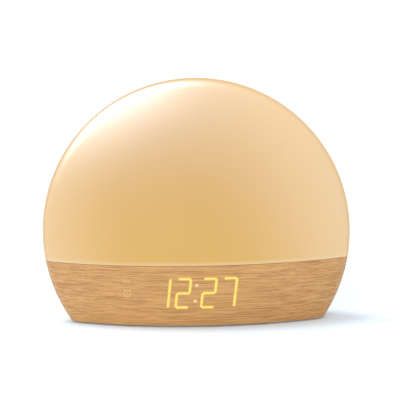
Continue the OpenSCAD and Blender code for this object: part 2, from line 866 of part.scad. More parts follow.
// A flat tab from the end of the lip to the wood's boss
module panel_ear(side) {
    ear_r = panel_boss_r + 0.6;
    lip_end = panel_w / 2 + lip_w;
    intersection() {
        pebble(lip_inset);
        union() {
            rod_y(side * panel_boss_x, panel_mid_z, ear_r, panel_boss_y - lip_t, panel_boss_y);
            block([min(side * (lip_end - 3.5), side * panel_boss_x), panel_boss_y - lip_t, panel_mid_z - ear_r],
                  [max(side * (lip_end - 3.5), side * panel_boss_x), panel_boss_y, panel_mid_z + ear_r]);
            block([min(side * (lip_end - 3.5), side * (lip_end - 1.5)), panel_boss_y - lip_t,
                   panel_mid_z - ear_r],
                  [max(side * (lip_end - 3.5), side * (lip_end - 1.5)), reach, panel_mid_z + ear_r]);
        }
    }
}

module panel_screws() {
    color("silver") for (side = [-1, 1]) {
        translate([side * panel_boss_x, panel_boss_y - lip_t, panel_mid_z]) rotate([-90, 0, 0])
            screw(small_head_r, small_head_h, small_shank_r, lip_t + 3);
    }
}

// ---------- Boards behind the buttons ----------

module button_board(x0, x1, posts) {
    half_h = row_pitch / 2 + switch_w / 2 + 2;
    color("seagreen") difference() {
        block([x0, button_board_y - board_t, panel_mid_z - half_h],
              [x1, button_board_y, panel_mid_z + half_h]);
        for (x = posts) rod_y(x, panel_mid_z, small_shank_r + 0.2, 0, half_depth);
    }
}

module right_button_board() {
    button_board(right_posts[0] - 2.4, column_x + column_pitch + switch_w / 2 + 2, right_posts);
}

module left_button_board() {
    button_board(left_posts[1] - 2.8, left_posts[0] + 2.4, left_posts);
}

module button_board_screws() {
    color("silver") for (x = post_xs) {
        translate([x, button_board_y - board_t, panel_mid_z]) rotate([-90, 0, 0])
            screw(small_head_r, small_head_h, small_shank_r, board_t + 4);
    }
}

// ---------- Main board ----------

main_x0 = -jack_x - 6;
main_x1 = column_x + 14;
board_gap = 1.9; // the board's front left corner to the wooden wall
main_y0 = -(face_y(main_x0, main_board_z, base_wall) - board_gap);
main_y1 = magnet_y - 3;
jack_ear_x1 = jack_at.x + jack_w / 2 + 2;
standoff_r = 2.8;
standoff_y0 = -post_y(main_x0 + 10, cover_top, standoff_r + fit, base_wall + ledge_w);
standoff_spots = [
    [main_x0 + 10, standoff_y0], [main_x1 - 4, standoff_y0],
    [main_x0 + 15, main_y1 - 4], [main_x1 - 4, main_y1 - 4],
];
main_mid_y = (main_y0 + main_y1) / 2;

module main_board() {
    color("seagreen") difference() {
        union() {
            block([main_x0, main_y0, main_board_z], [main_x1, main_y1, main_board_top]);
            block([main_x0, main_y1 - over, main_board_z], [jack_ear_x1, jack_mouth - 4.6, main_board_top]);
        }
        for (p = standoff_spots) {
            translate([p.x, p.y, main_board_z - over])
                cylinder(r = small_shank_r + 0.2, h = board_t + 2 * over);
        }
    }
}

// Along the board, from the right button board's socket leftwards, with a gap between neighbours
part_gap = 1;
wire_pitch = 1.6;
socket_wall = 0.6;
lead_ways = 4;
light_ways = 3;
speaker_ways = 2;
function socket_half(ways) = ways * wire_pitch / 2 + socket_wall;
button_lead_x = column_x - 1;
cell_r = 8;
cell_h = 2;
holder_r = cell_r + 1.5;
holder_floor = 0.8;
cell_at = [button_lead_x - socket_half(lead_ways) - part_gap - holder_r, main_mid_y - 1.6];
driver_w = 5;
driver_x = cell_at.x - holder_r - part_gap - driver_w / 2;
processor_w = 10;
processor_x = driver_x - driver_w / 2 - part_gap - processor_w / 2;
lead_hole_x = processor_x - processor_w / 2 - part_gap - socket_half(light_ways);

// Flat packages on the board: x, distance from the board's middle, width, depth, height
chips = [
    [processor_x, -1.5, processor_w, 10, 1.4],
    [driver_x, -2, driver_w, 6, 1.6],
    [driver_x, 8.5, driver_w, 5, 1.6],
    [main_x0 + 28.5, -7.5, 7, 6, 1.4],
    [main_x0 + 22.5, 1.2, 6, 6, 3],
];
// Round cans on the board: x, distance from the board's middle, radius, height
cans = [[main_x0 + 9, -0.5, 3.2, 9], [main_x0 + 16, -3.5, 2.5, 7], [main_x1 - 8, 1, 2.5, 7]];

module board_chips() {
    color("black") for (c = chips) {
        y = main_mid_y + c[1];
        block([c[0] - c[2] / 2, y - c[3] / 2, main_board_top],
              [c[0] + c[2] / 2, y + c[3] / 2, main_board_top + c[4]]);
    }
}

module capacitors() {
    color("steelblue") for (c = cans) {
        translate([c[0], main_mid_y + c[1], main_board_top]) difference() {
            cylinder(r = c[2], h = c[3]);
            translate([0, 0, 1.6]) rotate_extrude() translate([c[2] + 0.1, 0]) circle(r = 0.4, $fn = 24);
        }
    }
}

module coin_cell_holder() {
    color("black") translate([cell_at.x, cell_at.y, main_board_top]) difference() {
        cylinder(r = holder_r, h = holder_floor + cell_h * 0.7);
        translate([0, 0, holder_floor]) cylinder(r = cell_r + slip, h = cell_h);
        // Finger notch through the rim
        translate([-holder_r / 3, -holder_r - over, holder_floor])
            cube([holder_r * 2 / 3, holder_r / 2, cell_h]);
    }
}

module coin_cell() {
    color("silver") translate([cell_at.x, cell_at.y, main_board_top + holder_floor]) {
        cylinder(r = cell_r - 0.4, h = 0.6);
        translate([0, 0, 0.6]) cylinder(r = cell_r, h = cell_h - 0.6);
    }
}

module main_board_screws() {
    color("silver") for (p = standoff_spots) {
        translate([p.x, p.y, main_board_top]) mirror([0, 0, 1])
            screw(small_head_r, small_head_h, small_shank_r, board_t + 3.4);
    }
}

// ---------- Leads between the boards ----------

plug_h = 5;
plug_d = 4;
socket_setback = 5; // from the main board's rear edge to the middle of its sockets there
wire_r = 0.6;
ribbon_w = 12;
ribbon_t = 1;
ribbon_end_w = ribbon_w + 1.6; // the ribbon's two connectors
ribbon_x = cell_at.x - holder_r - part_gap - ribbon_end_w / 2;
ribbon_head_t = 2.4; // its connector on the display board
ribbon_foot_h = 3; // its connector on the main board
ribbon_foot_y = main_y0 + 1 + plug_d / 2;
bend_r = 2.4;
button_lead_xs = [button_lead_x, -button_lead_x];
button_lead_z = panel_mid_z;

// Socket housings: on the main board, on the display board and on the two button boards
module connectors() {
    color("ivory") {
        for (x = button_lead_xs) {
            half = socket_half(lead_ways);
            socket(x, main_y1 - socket_setback, lead_ways);
            block([x - half, button_board_y - board_t - plug_h, button_lead_z - plug_d / 2],
                  [x + half, button_board_y - board_t, button_lead_z + plug_d / 2]);
        }
        socket(lead_hole_x, 0, light_ways);
        socket(speaker_lead_x, main_y1 - socket_setback, speaker_ways);
        block([ribbon_x - ribbon_end_w / 2, ribbon_foot_y - plug_d / 2, main_board_top],
              [ribbon_x + ribbon_end_w / 2, ribbon_foot_y + plug_d / 2, main_board_top + ribbon_foot_h]);
        block([ribbon_x - ribbon_end_w / 2, display_back + board_t, digit_mid_z - plug_d / 2],
              [ribbon_x + ribbon_end_w / 2, display_back + board_t + ribbon_head_t, digit_mid_z + plug_d / 2]);
    }
}

module socket(x, y, ways) {
    half = socket_half(ways);
    block([x - half, y - plug_d / 2, main_board_top], [x + half, y + plug_d / 2, main_board_top + plug_h]);
}

// A quarter bend in the YZ plane from -Y travel to -Z travel, with its corner at the origin
module quarter(r) {
    translate([0, bend_r, -bend_r]) rotate([0, 90, 0]) rotate([0, 0, 180])
        rotate_extrude(angle = 90) translate([bend_r, 0]) circle(r = r, $fn = 24);
}

// One wire from a point at the rear, forward along Y and then down to a socket
module wire(x, y_start, z_start, y_down, z_end) {
    translate([x, y_down, z_start]) quarter(wire_r);
    rod_y(x, z_start, wire_r, y_down + bend_r, y_start, $fn = 24);
    translate([x, y_down, z_end]) cylinder(r = wire_r, h = z_start - bend_r - z_end, $fn = 24);
}

module button_leads() {
    color("red") for (x = button_lead_xs, n = [0 : lead_ways - 1]) {
        wire(x + (n - (lead_ways - 1) / 2) * wire_pitch, button_board_y - board_t - plug_h, button_lead_z,
             main_y1 - socket_setback, main_board_top + plug_h);
    }
}

module speaker_leads() {
    color("black") for (side = [-1, 1]) {
        x = speaker_lead_x + side * wire_pitch / 2;
        wire(x, terminal_y, panel_mid_z, main_y1 - socket_setback, main_board_top + plug_h);
    }
}

module light_leads() {
    color("red") for (n = [-1, 0, 1]) {
        translate([lead_hole_x + n * wire_pitch, 0, main_board_top + plug_h])
            cylinder(r = wire_r, h = tray_top - main_board_top - plug_h, $fn = 24);
    }
}

// A flat cable that leaves the display board, turns down and plugs into the main board
// The side view of all that lies under a cable that runs from y0 to y1 at height z1, turns down and ends at z0
module below_cable(y0, y1, z0, z1, turn_r) {
    intersection() {
        translate([y0, z0]) square([y1 - y0, z1 - z0]);
        union() {
            translate([y1 - turn_r, z1 - turn_r]) circle(r = turn_r);
            translate([y0, z0]) square([y1 - turn_r - y0, z1 - z0]);
            translate([y0, z0]) square([y1 - y0, z1 - turn_r - z0]);
        }
    }
}

module display_ribbon() {
    start_y = display_back + board_t + ribbon_head_t;
    end_z = main_board_top + ribbon_foot_h;
    turn_r = (ribbon_foot_y - start_y) * 0.8;
    half_t = ribbon_t / 2;
    color("lightgray") translate([ribbon_x - ribbon_w / 2, 0, 0]) rotate([90, 0, 90])
        linear_extrude(ribbon_w) difference() {
            below_cable(start_y, ribbon_foot_y + half_t, end_z, digit_mid_z + half_t, turn_r);
            below_cable(start_y - over, ribbon_foot_y - half_t, end_z - over, digit_mid_z - half_t,
                        turn_r - ribbon_t);
        }
}

// ---------- Bottom ----------

foot_r = 5.5;
foot_sink = 0.8;
foot_setback = 38.1; // from the inside of the base's end
foot_x = end_x(cover_z, base_wall) - foot_setback;
foot_y = post_y(foot_x, cover_z, foot_r, base_wall + fit) - 2;
foot_spots = [for (sx = [-1, 1], sy = [-1, 1]) [sx * foot_x, sy * foot_y]];
vent_l = 18;
vent_w = 2;
vent_pitch = 5;
vents = 7;

module bottom_cover() {
    color("tan") difference() {
        union() {
            plate(cover_z, cover_top, base_wall + fit);
            for (p = standoff_spots) {
                translate([p.x, p.y, cover_top - cover_t / 2])
                    cylinder(r = standoff_r, h = main_board_z - cover_top + cover_t / 2);
            }
        }
        for (p = standoff_spots) {
            translate([p.x, p.y, cover_top - 0.6]) cylinder(r = small_pilot_r, h = 5 + 0.6 + over);
        }
        for (p = leg_spots) {
            translate([p.x, p.y, cover_z - over]) cylinder(r = shank_r + 0.2, h = cover_t + 2 * over);
            translate([p.x, p.y, cover_z - over]) cylinder(r = head_r + 0.3, h = head_h + over - 0.2);
        }
        for (p = foot_spots) {
            translate([p.x, p.y, cover_z - over]) cylinder(r = foot_r + slip, h = foot_sink + over);
        }
        for (n = [0 : vents - 1]) {
            translate([(n - (vents - 1) / 2) * vent_pitch, 0, cover_z - over]) {
                for (sy = [-1, 1]) {
                    translate([0, sy * (vent_l - vent_w) / 2, 0]) cylinder(d = vent_w, h = cover_t + 2 * over);
                }
                translate([-vent_w / 2, -(vent_l - vent_w) / 2, 0])
                    cube([vent_w, vent_l - vent_w, cover_t + 2 * over]);
            }
        }
    }
}

module cover_screws() {
    grip = leg_pilot - 2;
    seat = cover_z + head_h - 0.2;
    color("silver") for (p = leg_spots) {
        translate([p.x, p.y, seat]) screw(head_r, head_h - 0.3, shank_r, cover_top - seat + grip);
    }
}

module feet() {
    color("dimgray") for (p = foot_spots) {
        translate([p.x, p.y, 0]) {
            cylinder(r1 = foot_r - 0.5, r2 = foot_r, h = 0.5);
            translate([0, 0, 0.5]) cylinder(r = foot_r, h = cover_z + foot_sink - 0.5);
        }
    }
}

// ---------- Nodes ----------

wooden_base();
dome_diffuser();
light_tray();
led_board();
led_chips();
led_screws();
dome_screws();
display_box();
display_film();
display_board();
display_leds();
display_screws();
rear_panel();
panel_screws();
speaker_grille();
speaker_gasket();
speaker_frame();
speaker_surround();
speaker_cone();
speaker_dust_cap();
speaker_magnet();
speaker_screws();
light_button();
sound_button();
plus_button();
minus_button();
alarm_button();
set_button();
light_plunger();
sound_plunger();
plus_plunger();
minus_plunger();
alarm_plunger();
set_plunger();
switch_housings();
right_button_board();
left_button_board();
button_board_screws();
jack_housing();
jack_pin();
main_board();
board_chips();
capacitors();
connectors();
coin_cell_holder();
coin_cell();
main_board_screws();
bottom_cover();
cover_screws();
feet();
display_ribbon();
speaker_leads();
light_leads();
button_leads();
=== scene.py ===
import logging
import math
from dataclasses import dataclass
from enum import Enum
from typing import Callable, ClassVar, Iterable, Optional, Sequence

import bmesh
import bpy
from mathutils import Matrix, Vector


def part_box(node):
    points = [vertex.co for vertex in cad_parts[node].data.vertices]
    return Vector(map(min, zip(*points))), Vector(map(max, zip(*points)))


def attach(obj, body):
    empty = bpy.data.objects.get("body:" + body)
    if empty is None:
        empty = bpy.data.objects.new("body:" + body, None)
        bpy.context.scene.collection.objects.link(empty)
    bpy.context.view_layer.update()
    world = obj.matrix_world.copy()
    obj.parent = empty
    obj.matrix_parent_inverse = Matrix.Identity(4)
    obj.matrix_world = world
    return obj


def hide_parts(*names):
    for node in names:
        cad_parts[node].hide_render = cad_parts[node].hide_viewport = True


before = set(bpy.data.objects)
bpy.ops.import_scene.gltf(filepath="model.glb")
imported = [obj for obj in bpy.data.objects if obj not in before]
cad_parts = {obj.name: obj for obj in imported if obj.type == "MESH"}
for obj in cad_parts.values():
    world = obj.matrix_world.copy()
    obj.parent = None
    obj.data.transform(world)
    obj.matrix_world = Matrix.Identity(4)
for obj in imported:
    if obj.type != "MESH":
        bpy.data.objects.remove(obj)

log = logging.getLogger("sunrise_clock")
MM = 0.001
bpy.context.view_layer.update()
HOUSING = "housing"

BMesh = bmesh.types.BMesh
Socket = bpy.types.NodeSocket
Pair = tuple[float, float]
Triple = tuple[float, float, float]
Colour = tuple[float, float, float, float]


class Slot(Enum):
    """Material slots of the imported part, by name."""

    DIFFUSER = "diffuser"
    LED = "led"
    BUTTON = "button"


class Key(Enum):
    """The six keys in the rear panel, by the first word of their nodes and bodies."""

    LIGHT = "light"
    SOUND = "sound"
    PLUS = "plus"
    MINUS = "minus"
    ALARM = "alarm"
    SET = "set"


# ---------------------------------------------------------------- shader helpers


def linear(code: str) -> Colour:
    """Turn a display colour's six hexadecimal digits into the linear colour that a shader takes."""
    channels = [int(code[i : i + 2], 16) / 255 for i in (0, 2, 4)]
    return (*[c / 12.92 if c <= 0.04045 else ((c + 0.055) / 1.055) ** 2.4 for c in channels], 1.0)


def dimmed(colour: Colour, share: float) -> Colour:
    """Return a colour with a share of its light."""
    return (*[channel * share for channel in colour[:3]], 1.0)


class Graph:
    """Short ways to place and join nodes in one node tree."""

    # The Mix node has sockets for numbers, vectors and colours: these are the ones for colours.
    MIX_SHARE, MIX_A, MIX_B, MIX_OUT = 0, 6, 7, 2
    NOISE_MIDDLE = 0.5

    def __init__(self, tree: bpy.types.NodeTree) -> None:
        """Keep the tree that the nodes go into."""
        self.tree = tree

    def feed(self, socket: Socket, value: object) -> None:
        """Join an output to an input, or set the input's own value.

        Args:
            socket: the input.
            value: an output or a plain value.
        """
        if isinstance(value, Socket):
            self.tree.links.new(value, socket)
        else:
            socket.default_value = value

    def fill(self, node: bpy.types.Node, inputs: dict) -> None:
        """Join or set several inputs of a node, each by its name or number."""
        for key, value in inputs.items():
            self.feed(node.inputs[key], value)

    def node(self, kind: str, inputs: Optional[dict] = None, **settings: object) -> bpy.types.Node:
        """Add a node.

        Args:
            kind: the node's type without its ShaderNode prefix.
            inputs: values or outputs by input name or number.
            settings: attributes of the node.

        Returns:
            The new node.
        """
        made = self.tree.nodes.new("ShaderNode" + kind)
        for key, value in settings.items():
            setattr(made, key, value)
        self.fill(made, inputs or {})
        return made

    def place(self) -> Socket:
        """Return the piece's own coordinates."""
        return self.node("TexCoord").outputs["Object"]

    def stretched(self, vector: Socket, scale: Sequence[float]) -> Socket:
        """Return coordinates scaled by axis."""
        return self.node("Mapping", {"Vector": vector, "Scale": scale}).outputs[0]

    def maths(self, operation: str, a: object, b: object = 0.0) -> Socket:
        """Return one arithmetic step on two numbers."""
        return self.node("Math", {0: a, 1: b}, operation=operation).outputs[0]

    def length(self, a: Socket, b: Socket) -> Socket:
        """Return the length of a flat vector with two parts."""
        squares = self.maths("ADD", self.maths("MULTIPLY", a, a), self.maths("MULTIPLY", b, b))
        return self.maths("SQRT", squares)

    def noise(self, vector: Socket, scale: object, detail: float, roughness: float = 0.5) -> Socket:
        """Return a noise value between 0 and 1."""
        inputs = {"Vector": vector, "Scale": scale, "Detail": detail, "Roughness": roughness}
        return self.node("TexNoise", inputs).outputs["Fac"]

    def about_zero(self, noise: Socket) -> Socket:
        """Return a noise value moved so that its middle is zero."""
        return self.maths("SUBTRACT", noise, self.NOISE_MIDDLE)

    def spread(self, value: object, low: float, high: float, to: Pair = (0, 1)) -> Socket:
        """Map a value smoothly from one range to another.

        Args:
            value: the value.
            low: where the first range starts.
            high: where it ends.
            to: start and end of the second range.

        Returns:
            The mapped value.
        """
        ranges = {"From Min": low, "From Max": high, "To Min": to[0], "To Max": to[1]}
        made = self.node("MapRange", {"Value": value, **ranges}, interpolation_type="SMOOTHSTEP")
        return made.outputs["Result"]

    def mix(self, share: object, a: object, b: object, how: str = "MIX") -> Socket:
        """Return two colours mixed."""
        inputs = {self.MIX_SHARE: share, self.MIX_A: a, self.MIX_B: b}
        return self.node("Mix", inputs, data_type="RGBA", blend_type=how).outputs[self.MIX_OUT]

    def bump(self, height: Socket, strength: float, depth: float) -> Socket:
        """Return a normal pushed about by a height."""
        inputs = {"Height": height, "Strength": strength, "Distance": depth}
        return self.node("Bump", inputs).outputs["Normal"]


Build = Callable[[Graph, bpy.types.NodeOutputs], dict[str, Socket]]
TEXTURE = {"Color": "Color", "Roughness": "Float", "Height": "Float"}


def group(name: str, inputs: dict[str, tuple[str, object]], build: Build) -> bpy.types.NodeTree:
    """Build a shader node group with a texture's outputs once.

    Args:
        name: the group's name.
        inputs: kind and first value of each input by name.
        build: takes the graph and the group's input sockets and returns the outputs by name.

    Returns:
        The group's node tree.
    """
    if name in bpy.data.node_groups:
        return bpy.data.node_groups[name]
    tree = bpy.data.node_groups.new(name, "ShaderNodeTree")
    for key, (kind, value) in inputs.items():
        socket = tree.interface.new_socket(key, in_out="INPUT", socket_type="NodeSocket" + kind)
        socket.default_value = value
    for key, kind in TEXTURE.items():
        tree.interface.new_socket(key, in_out="OUTPUT", socket_type="NodeSocket" + kind)
    graph = Graph(tree)
    entry = tree.nodes.new("NodeGroupInput")
    end = tree.nodes.new("NodeGroupOutput")
    graph.fill(end, build(graph, entry.outputs))
    return tree


def moulding_group() -> bpy.types.NodeTree:
    """Build the fine spark texture and handling marks of moulded plastic and metal.

    Returns:
        The group's node tree.
    """
    patch_scale, rough_swing = 35.0, 0.16

    def build(g: Graph, take: bpy.types.NodeOutputs) -> dict[str, Socket]:
        """Lay fine spark marks over broad, faint patches of handling.

        Args:
            g: the group's graph.
            take: the group's input sockets.

        Returns:
            The group's outputs by name.
        """
        place = g.place()
        fine = g.noise(place, take["Texture Scale"], detail=4.0)
        patches = g.about_zero(g.noise(place, patch_scale, detail=3.0))
        value = g.maths("ADD", g.maths("MULTIPLY", patches, take["Patch Strength"]), 1.0)
        colour = g.node("HueSaturation", {"Color": take["Color"], "Value": value}).outputs[0]
        swing = g.maths("MULTIPLY", g.about_zero(fine), rough_swing)
        rough = g.maths("ADD", take["Roughness"], swing)
        return {"Color": colour, "Roughness": rough, "Height": fine}

    inputs = {
        "Color": ("Color", (1, 1, 1, 1)),
        "Roughness": ("Float", 0.5),
        "Texture Scale": ("Float", 900.0),
        "Patch Strength": ("Float", 0.08),
    }
    return group("moulded_texture", inputs, build)


def oak_group() -> bpy.types.NodeTree:
    """Build the oak veneer: growth bands, streaks and pores that run along X.

    Returns:
        The group's node tree.
    """
    tone_share = 0.3
    pore_depth, streak_depth = 0.7, 0.3
    smooth, streak_rough = 0.46, 0.14

    def build(g: Graph, take: bpy.types.NodeOutputs) -> dict[str, Socket]:
        """Stretch noise along X for bands, streaks and pores.

        Args:
            g: the group's graph.
            take: the group's input sockets.

        Returns:
            The group's outputs by name.
        """
        drift = g.noise(g.stretched(g.place(), scale=(5, 5, 9)), 1.0, detail=2.0)
        bend = g.maths("MULTIPLY", g.about_zero(drift), take["Waviness"])
        lifted = g.node("CombineXYZ", {"Z": bend}).outputs[0]
        place = g.node("VectorMath", {0: g.place(), 1: lifted}, operation="ADD").outputs[0]

        def along(scale: Triple, detail: float, roughness: float = 0.55) -> Socket:
            """Return noise on coordinates squeezed along X."""
            return g.noise(g.stretched(place, scale), 1.0, detail, roughness)

        bands = along(scale=(12, 24, 300), detail=4.0)
        streaks = along(scale=(30, 110, 2100), detail=4.0, roughness=0.65)
        pores = along(scale=(60, 300, 3600), detail=3.0)
        tone = along(scale=(4, 6, 16), detail=2.0)
        bands = g.spread(bands, low=0.2, high=0.8)
        streaks = g.spread(streaks, low=0.44, high=0.62)
        pores = g.spread(pores, low=0.52, high=0.66)
        tone = g.spread(tone, low=0.3, high=0.7)
        colour = g.mix(bands, take["Light"], take["Mid"])
        colour = g.mix(g.maths("MULTIPLY", tone, tone_share), colour, take["Mid"])
        colour = g.mix(g.maths("MULTIPLY", streaks, take["Streaks"]), colour, take["Dark"])
        colour = g.mix(g.maths("MULTIPLY", pores, take["Streaks"]), colour, take["Dark"])
        cut = g.maths("MULTIPLY", pores, pore_depth)
        cut = g.maths("ADD", cut, g.maths("MULTIPLY", streaks, streak_depth))
        rough = g.maths("ADD", smooth, g.maths("MULTIPLY", streaks, streak_rough))
        return {"Color": colour, "Roughness": rough, "Height": g.maths("SUBTRACT", 1.0, cut)}

    inputs = {
        "Light": ("Color", linear("E0AB6D")),
        "Mid": ("Color", linear("D49C5F")),
        "Dark": ("Color", linear("9A6431")),
        "Streaks": ("Float", 0.56),
        "Waviness": ("Float", 2.5 * MM),
    }
    return group("oak_veneer", inputs, build)


# ---------------------------------------------------------------- finishes


class Finish:
    """A named surface finish that makes its material the first time it is used."""

    name: str

    def material(self) -> bpy.types.Material:
        """Make the finish's material, or find it.

        Returns:
            The material.
        """
        known = bpy.data.materials.get(self.name)
        if known:
            return known
        made = bpy.data.materials.new(self.name)
        made.use_nodes = True
        shader = made.node_tree.nodes["Principled BSDF"]
        self.dress(Graph(made.node_tree), shader)
        return made

    def dress(self, graph: Graph, shader: bpy.types.Node) -> None:
        """Set the shader's inputs."""
        raise NotImplementedError


@dataclass(frozen=True)
class Moulded(Finish):
    """A moulded, printed or machined surface with a fine texture."""

    name: str
    colour: str
    roughness: float = 0.5
    metal: float = 0.0
    grain: float = 900.0
    relief: float = 0.25
    depth: float = 0.06 * MM
    patches: float = 0.08

    def dress(self, graph: Graph, shader: bpy.types.Node) -> None:
        """Put the shared moulding texture on the shader.

        Args:
            graph: the material's graph.
            shader: the material's shader.
        """
        values = {
            "Color": linear(self.colour),
            "Roughness": self.roughness,
            "Texture Scale": self.grain,
            "Patch Strength": self.patches,
        }
        texture = graph.node("Group", values, node_tree=moulding_group()).outputs
        graph.fill(shader, {
            "Base Color": texture["Color"],
            "Roughness": texture["Roughness"],
            "Metallic": self.metal,
            "Normal": graph.bump(texture["Height"], self.relief, self.depth),
        })


@dataclass(frozen=True)
class Brushed(Finish):
    """Metal with fine lines along one axis."""

    name: str
    colour: str
    roughness: float = 0.32
    lines: Triple = (60, 2600, 2600)
    shade: float = 0.82
    smoother: float = 0.06
    rougher: float = 0.1
    relief: float = 0.2
    depth: float = 0.04 * MM

    def dress(self, graph: Graph, shader: bpy.types.Node) -> None:
        """Stretch fine lines over the metal.

        Args:
            graph: the material's graph.
            shader: the material's shader.
        """
        lines = graph.noise(graph.stretched(graph.place(), self.lines), 1.0, detail=3.0)
        base = linear(self.colour)
        rough = (self.roughness - self.smoother, self.roughness + self.rougher)
        graph.fill(shader, {
            "Base Color": graph.mix(lines, dimmed(base, self.shade), base),
            "Roughness": graph.spread(lines, low=0.3, high=0.7, to=rough),
            "Metallic": 1.0,
            "Normal": graph.bump(lines, self.relief, self.depth),
        })


@dataclass(frozen=True)
class CircuitLaminate(Finish):
    """A lacquered circuit board with tracks that show through as a faint maze."""

    name: str
    colour: str
    track: str
    cells: float = 420.0
    disorder: float = 0.55
    roughness: Pair = (0.3, 0.42)
    lacquer: float = 0.4
    relief: float = 0.3
    depth: float = 0.03 * MM

    def dress(self, graph: Graph, shader: bpy.types.Node) -> None:
        """Draw square cell borders as tracks.

        Args:
            graph: the material's graph.
            shader: the material's shader.
        """
        inputs = {"Vector": graph.place(), "Scale": self.cells, "Randomness": self.disorder}
        cells = graph.node("TexVoronoi", inputs, distance="CHEBYCHEV", feature="F1")
        edge = graph.spread(cells.outputs["Distance"], low=0.30, high=0.36)
        graph.fill(shader, {
            "Base Color": graph.mix(edge, linear(self.colour), linear(self.track)),
            "Roughness": graph.spread(edge, low=0, high=1, to=self.roughness),
            "Coat Weight": self.lacquer,
            "Normal": graph.bump(edge, self.relief, self.depth),
        })


@dataclass(frozen=True)
class OakVeneer(Finish):
    """Satin oak veneer with its grain along the clock."""

    name: str = "oak_veneer"
    specular: float = 0.35
    relief: float = 0.35
    depth: float = 0.12 * MM

    def dress(self, graph: Graph, shader: bpy.types.Node) -> None:
        """Put the oak group on the shader.

        Args:
            graph: the material's graph.
            shader: the material's shader.
        """
        oak = graph.node("Group", node_tree=oak_group()).outputs
        graph.fill(shader, {
            "Base Color": oak["Color"],
            "Roughness": oak["Roughness"],
            "Specular IOR Level": self.specular,
            "Normal": graph.bump(oak["Height"], self.relief, self.depth),
        })


@dataclass(frozen=True)
class LitDiffuser(Finish):
    """The frosted dome, lit from low in its middle and paler towards its outline.

    Its tone runs from low to high over the lamps, and to pale with the distance from them; the pale
    outer part is the lamps' glow with a painted sheen, the white room's reflection on the dome's
    shoulders.
    The foot is the bright line over the wood and the edge is a painted amber rim, the lit shell as
    it looks edge-on. Each band is two distances: up from the wood for the rise and the foot, in
    shares of the lamps' reach for the pale tone and its painted sheen, and inwards from the outline
    for the painted rim and the gloss.
    """

    centre_z: float
    body_r: float
    seam_z: float
    name: str = "lit_diffuser"
    low: str = "E1B160"
    high: str = "C69C6F"
    # The pale tone: the lamps' glow far from them, with a painted sheen of the white room on the
    # dome's shoulders.
    pale: str = "F6D1A1"
    # The edge tone is a painted amber rim, the lit shell as it looks edge-on.
    edge: str = "DFAE6C"
    foot: str = "F4DDB5"
    lamp_x: float = -6.6 * MM
    lamp_reach: Pair = (123.6 * MM, 205.1 * MM)
    lean: float = 0.356
    rise_band: Pair = (-2.6 * MM, 140 * MM)
    # Where the pale tone and its painted sheen come in, in shares of the lamps' reach.
    glow_and_sheen_band: Pair = (0.2, 1.05)
    foot_band: Pair = (3.4 * MM, 0.6 * MM)
    foot_share: float = 0.38
    # Width and share of the painted amber rim inside the outline.
    painted_rim_band: Pair = (3.2 * MM, 0.6 * MM)
    painted_rim_share: float = 0.3
    own_light: float = 0.458
    body_share: float = 0.5
    frost: float = 1600.0
    roughness: Pair = (0.48, 0.56)
    relief: float = 0.05
    depth: float = 0.02 * MM
    gloss_band: Pair = (3.4 * MM, 0.2 * MM)
    gloss: Pair = (1.0, 0.08)
    gloss_roughness: float = 0.52

    def from_outline(self, graph: Graph, radius: Socket, band: Pair, to: Pair = (0, 1)) -> Socket:
        """Return a value that changes over a band inside the dome's outline."""
        start, end = band
        return graph.spread(radius, self.body_r - start, self.body_r - end, to)

    def dress(self, graph: Graph, shader: bpy.types.Node) -> None:
        """Blend the tones by place and let the dome shine with part of them.

        Args:
            graph: the material's graph.
            shader: the material's shader.
        """
        axes = graph.node("SeparateXYZ", {0: graph.place()}).outputs
        up = graph.maths("SUBTRACT", axes["Z"], self.seam_z)
        across = graph.maths("SUBTRACT", axes["X"], self.lamp_x)
        across = graph.maths("ADD", across, graph.maths("MULTIPLY", up, self.lean))
        wide, tall = self.lamp_reach
        away = graph.length(graph.maths("DIVIDE", across, wide), graph.maths("DIVIDE", up, tall))
        radius = graph.length(axes["X"], graph.maths("SUBTRACT", axes["Z"], self.centre_z))
        tone = graph.mix(graph.spread(up, *self.rise_band), linear(self.low), linear(self.high))
        # Paler away from the lamps: their glow, with a painted sheen of the white room towards the
        # outline.
        tone = graph.mix(graph.spread(away, *self.glow_and_sheen_band), tone, linear(self.pale))
        foot = graph.maths("MULTIPLY", graph.spread(up, *self.foot_band), self.foot_share)
        tone = graph.mix(foot, tone, linear(self.foot))
        # Painted amber rim just inside the outline, where the lit shell is seen edge-on.
        rim = self.from_outline(graph, radius, self.painted_rim_band)
        tone = graph.mix(graph.maths("MULTIPLY", rim, self.painted_rim_share), tone, linear(self.edge))
        frost = graph.noise(graph.place(), self.frost, detail=2.0)
        shade = dimmed((1, 1, 1, 1), self.body_share)
        graph.fill(shader, {
            "Base Color": graph.mix(1.0, tone, shade, "MULTIPLY"),
            "Emission Color": tone,
            "Emission Strength": self.own_light,
            "Roughness": graph.spread(frost, low=0.2, high=0.8, to=self.roughness),
            "Specular IOR Level": 0.0,
            "Coat Weight": self.from_outline(graph, radius, self.gloss_band, self.gloss),
            "Coat Roughness": self.gloss_roughness,
            "Normal": graph.bump(frost, self.relief, self.depth),
        })


@dataclass(frozen=True)
class Glow(Finish):
    """A lamp's light as it comes through the wood."""

    name: str
    colour: str
    strength: float = 1.0
    pores: Triple = (220, 220, 1500)
    dim_share: float = 0.8
    unlit: Colour = (0.02, 0.015, 0.01, 1.0)
    roughness: float = 0.6
    specular: float = 0.1

    def dress(self, graph: Graph, shader: bpy.types.Node) -> None:
        """Let the light vary a little with the wood's pores in front of it.

        Args:
            graph: the material's graph.
            shader: the material's shader.
        """
        pores = graph.noise(graph.stretched(graph.place(), self.pores), 1.0, detail=2.0)
        base = linear(self.colour)
        graph.fill(shader, {
            "Base Color": self.unlit,
            "Emission Color": graph.mix(pores, dimmed(base, self.dim_share), base),
            "Emission Strength": self.strength,
            "Roughness": self.roughness,
            "Specular IOR Level": self.specular,
        })


# ---------------------------------------------------------------- outer form and mesh tools


